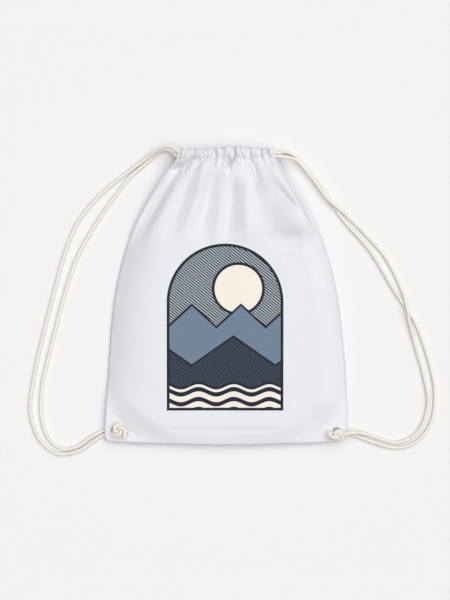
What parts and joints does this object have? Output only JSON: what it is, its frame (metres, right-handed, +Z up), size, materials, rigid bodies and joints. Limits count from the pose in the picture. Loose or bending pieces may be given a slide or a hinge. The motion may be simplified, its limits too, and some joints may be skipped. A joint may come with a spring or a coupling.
{
  "type": "drawstring bag",
  "caption": "White cotton drawstring backpack lying flat: sewn cloth panels with a gathered hem, cream cords through the hem and down to knots at the bottom corners.",
  "frame": {"origin": "on the surface the bag lies on, under the middle of the cloth's box", "axes": "+Y along the bag towards its mouth, +X to the right as seen from the front, +Z up out of the front"},
  "size_m": [0.6199, 0.4712, 0.0347],
  "materials": {
    "cloth": "white plain-weave cotton, matt",
    "cord": "cream cotton cord, matt"
  },
  "bodies": {
    "root": {"front_panel": "cloth", "back_panel": "cloth", "cord_left": "cord", "cord_right": "cord", "knot_left": "cord", "knot_right": "cord"}
  },
  "joints": []
}
